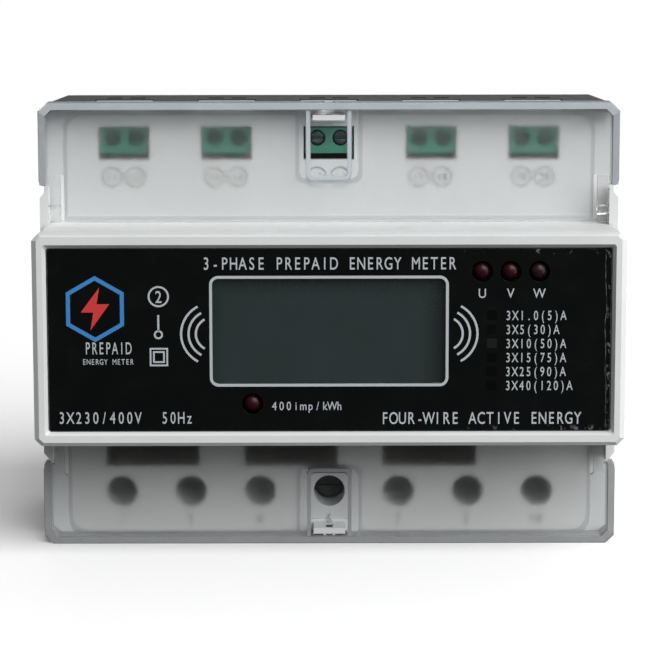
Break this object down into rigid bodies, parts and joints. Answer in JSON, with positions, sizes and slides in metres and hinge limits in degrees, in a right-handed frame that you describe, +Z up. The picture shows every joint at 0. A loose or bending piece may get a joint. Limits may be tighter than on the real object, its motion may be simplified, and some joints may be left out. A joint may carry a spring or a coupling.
{
  "type": "prepaid electricity meter",
  "caption": "Rail-mounted three-phase prepaid electricity meter with a raised display nose, two hinged frosted terminal covers, screw terminals and a sprung rail clip.",
  "frame": {"origin": "middle of the seat that lies on the front face of the 35 mm rail", "axes": "+X along the rail to the right seen from the front, -Y towards the reader, +Z up"},
  "size_m": [0.126, 0.07, 0.0974],
  "materials": {
    "white_plastic": "fine satin moulding",
    "dark_plastic": "fine spark-eroded texture",
    "clear_plastic": "frosted inside, clear rim",
    "label_black": "glossy printed film",
    "window": "clear, lightly dusty",
    "lcd_glass": "unlit segment display",
    "backlight": "satin light guide",
    "circuit_board": "solder mask",
    "terminal_green": "satin moulding",
    "steel": "zinc plated",
    "brass": "drawn",
    "copper": "bare copper",
    "relay_case": "satin moulding",
    "transformer_tape": "polyester tape over a laminated core",
    "core_blue": "epoxy cased ring",
    "battery_wrap": "shrink sleeve",
    "capacitor_wrap": "shrink sleeve",
    "led_red": "diffused lens, unlit",
    "clip_grey": "satin moulding"
  },
  "bodies": {
    "meter_body": {"front_housing": "white_plastic", "rear_base": "dark_plastic", "label_plate": "label_black", "display_window": "window", "lcd_glass": "lcd_glass", "lcd_backlight": "backlight", "display_board": "circuit_board", "card_antenna_coil": "copper", "led_u": "led_red", "led_v": "led_red", "led_w": "led_red", "led_pulse": "led_red", "power_board": "circuit_board", "power_transformer": "transformer_tape", "backup_battery": "battery_wrap", "smoothing_capacitor": "capacitor_wrap", "relay_1": "relay_case", "current_transformer_1": "core_blue", "relay_2": "relay_case", "current_transformer_2": "core_blue", "relay_3": "relay_case", "current_transformer_3": "core_blue", "neutral_busbar": "copper", "signal_terminal_1": "terminal_green", "signal_terminal_2": "terminal_green", "signal_terminal_3": "terminal_green", "signal_terminal_4": "terminal_green", "signal_terminal_5": "terminal_green", "clip_spring": "steel", "housing_screw_1": "steel", "housing_screw_2": "steel", "housing_screw_3": "steel", "housing_screw_4": "steel"},
    "upper_cover": {"upper_terminal_cover": "clear_plastic"},
    "lower_cover": {"lower_terminal_cover": "clear_plastic"},
    "clip": {"rail_clip": "clip_grey"},
    "main_cage_1_body": {"main_cage_1": "brass"},
    "main_cage_2_body": {"main_cage_2": "brass"},
    "main_cage_3_body": {"main_cage_3": "brass"},
    "main_cage_4_body": {"main_cage_4": "brass"},
    "main_cage_5_body": {"main_cage_5": "brass"},
    "main_cage_6_body": {"main_cage_6": "brass"},
    "main_cage_7_body": {"main_cage_7": "brass"},
    "main_screw_1_body": {"main_screw_1": "steel"},
    "main_screw_2_body": {"main_screw_2": "steel"},
    "main_screw_3_body": {"main_screw_3": "steel"},
    "main_screw_4_body": {"main_screw_4": "steel"},
    "main_screw_5_body": {"main_screw_5": "steel"},
    "main_screw_6_body": {"main_screw_6": "steel"},
    "main_screw_7_body": {"main_screw_7": "steel"},
    "signal_screw_1_body": {"signal_screw_1": "steel"},
    "signal_screw_10_body": {"signal_screw_10": "steel"},
    "signal_screw_2_body": {"signal_screw_2": "steel"},
    "signal_screw_3_body": {"signal_screw_3": "steel"},
    "signal_screw_4_body": {"signal_screw_4": "steel"},
    "signal_screw_5_body": {"signal_screw_5": "steel"},
    "signal_screw_6_body": {"signal_screw_6": "steel"},
    "signal_screw_7_body": {"signal_screw_7": "steel"},
    "signal_screw_8_body": {"signal_screw_8": "steel"},
    "signal_screw_9_body": {"signal_screw_9": "steel"}
  },
  "joints": [
    {"name": "cover_upper_hinge", "type": "hinge", "parent": "meter_body", "child": "upper_cover", "pos_m": [0, -0.0433, 0.0254], "axis": [1, 0, 0], "range_deg": [0, 90]},
    {"name": "cover_lower_hinge", "type": "hinge", "parent": "meter_body", "child": "lower_cover", "pos_m": [0, -0.0433, -0.0254], "axis": [-1, 0, 0], "range_deg": [0, 90]},
    {"name": "din_clip_slide", "type": "slide", "parent": "meter_body", "child": "clip", "axis": [0, 0, -1], "range_m": [0, 0.005], "stiffness_N_per_m": 800, "springref_m": -0.003, "deforming": ["clip_spring"]},
    {"name": "main_screw_1_turn", "type": "hinge", "parent": "meter_body", "child": "main_screw_1_body", "pos_m": [-0.0462, -0.028, -0.0382], "axis": [0, 1, 0], "range_deg": [0, 1620]},
    {"name": "main_cage_1_slide", "type": "slide", "parent": "meter_body", "child": "main_cage_1_body", "axis": [0, -1, 0], "range_m": [0, 0.0045]},
    {"name": "main_screw_2_turn", "type": "hinge", "parent": "meter_body", "child": "main_screw_2_body", "pos_m": [-0.0308, -0.028, -0.0382], "axis": [0, 1, 0], "range_deg": [0, 1620]},
    {"name": "main_cage_2_slide", "type": "slide", "parent": "meter_body", "child": "main_cage_2_body", "axis": [0, -1, 0], "range_m": [0, 0.0045]},
    {"name": "main_screw_3_turn", "type": "hinge", "parent": "meter_body", "child": "main_screw_3_body", "pos_m": [-0.0154, -0.028, -0.0382], "axis": [0, 1, 0], "range_deg": [0, 1620]},
    {"name": "main_cage_3_slide", "type": "slide", "parent": "meter_body", "child": "main_cage_3_body", "axis": [0, -1, 0], "range_m": [0, 0.0045]},
    {"name": "main_screw_4_turn", "type": "hinge", "parent": "meter_body", "child": "main_screw_4_body", "pos_m": [0, -0.028, -0.0382], "axis": [0, 1, 0], "range_deg": [0, 1620]},
    {"name": "main_cage_4_slide", "type": "slide", "parent": "meter_body", "child": "main_cage_4_body", "axis": [0, -1, 0], "range_m": [0, 0.0045]},
    {"name": "main_screw_5_turn", "type": "hinge", "parent": "meter_body", "child": "main_screw_5_body", "pos_m": [0.0154, -0.028, -0.0382], "axis": [0, 1, 0], "range_deg": [0, 1620]},
    {"name": "main_cage_5_slide", "type": "slide", "parent": "meter_body", "child": "main_cage_5_body", "axis": [0, -1, 0], "range_m": [0, 0.0045]},
    {"name": "main_screw_6_turn", "type": "hinge", "parent": "meter_body", "child": "main_screw_6_body", "pos_m": [0.0308, -0.028, -0.0382], "axis": [0, 1, 0], "range_deg": [0, 1620]},
    {"name": "main_cage_6_slide", "type": "slide", "parent": "meter_body", "child": "main_cage_6_body", "axis": [0, -1, 0], "range_m": [0, 0.0045]},
    {"name": "main_screw_7_turn", "type": "hinge", "parent": "meter_body", "child": "main_screw_7_body", "pos_m": [0.0462, -0.028, -0.0382], "axis": [0, 1, 0], "range_deg": [0, 1620]},
    {"name": "main_cage_7_slide", "type": "slide", "parent": "meter_body", "child": "main_cage_7_body", "axis": [0, -1, 0], "range_m": [0, 0.0045]},
    {"name": "signal_screw_1_turn", "type": "hinge", "parent": "meter_body", "child": "signal_screw_1_body", "pos_m": [-0.04734, -0.036, 0.0406], "axis": [0, 1, 0], "range_deg": [0, 1440]},
    {"name": "signal_screw_2_turn", "type": "hinge", "parent": "meter_body", "child": "signal_screw_2_body", "pos_m": [-0.04226, -0.036, 0.0406], "axis": [0, 1, 0], "range_deg": [0, 1440]},
    {"name": "signal_screw_3_turn", "type": "hinge", "parent": "meter_body", "child": "signal_screw_3_body", "pos_m": [-0.02494, -0.036, 0.0406], "axis": [0, 1, 0], "range_deg": [0, 1440]},
    {"name": "signal_screw_4_turn", "type": "hinge", "parent": "meter_body", "child": "signal_screw_4_body", "pos_m": [-0.01986, -0.036, 0.0406], "axis": [0, 1, 0], "range_deg": [0, 1440]},
    {"name": "signal_screw_5_turn", "type": "hinge", "parent": "meter_body", "child": "signal_screw_5_body", "pos_m": [-0.00254, -0.036, 0.0406], "axis": [0, 1, 0], "range_deg": [0, 1440]},
    {"name": "signal_screw_6_turn", "type": "hinge", "parent": "meter_body", "child": "signal_screw_6_body", "pos_m": [0.00254, -0.036, 0.0406], "axis": [0, 1, 0], "range_deg": [0, 1440]},
    {"name": "signal_screw_7_turn", "type": "hinge", "parent": "meter_body", "child": "signal_screw_7_body", "pos_m": [0.01986, -0.036, 0.0406], "axis": [0, 1, 0], "range_deg": [0, 1440]},
    {"name": "signal_screw_8_turn", "type": "hinge", "parent": "meter_body", "child": "signal_screw_8_body", "pos_m": [0.02494, -0.036, 0.0406], "axis": [0, 1, 0], "range_deg": [0, 1440]},
    {"name": "signal_screw_9_turn", "type": "hinge", "parent": "meter_body", "child": "signal_screw_9_body", "pos_m": [0.04226, -0.036, 0.0406], "axis": [0, 1, 0], "range_deg": [0, 1440]},
    {"name": "signal_screw_10_turn", "type": "hinge", "parent": "meter_body", "child": "signal_screw_10_body", "pos_m": [0.04734, -0.036, 0.0406], "axis": [0, 1, 0], "range_deg": [0, 1440]}
  ],
  "couplings": [
    {"joint": "main_screw_1_turn", "follows": "main_cage_1_slide", "rad_per_m": 6283.2},
    {"joint": "main_screw_2_turn", "follows": "main_cage_2_slide", "rad_per_m": 6283.2},
    {"joint": "main_screw_3_turn", "follows": "main_cage_3_slide", "rad_per_m": 6283.2},
    {"joint": "main_screw_4_turn", "follows": "main_cage_4_slide", "rad_per_m": 6283.2},
    {"joint": "main_screw_5_turn", "follows": "main_cage_5_slide", "rad_per_m": 6283.2},
    {"joint": "main_screw_6_turn", "follows": "main_cage_6_slide", "rad_per_m": 6283.2},
    {"joint": "main_screw_7_turn", "follows": "main_cage_7_slide", "rad_per_m": 6283.2}
  ]
}
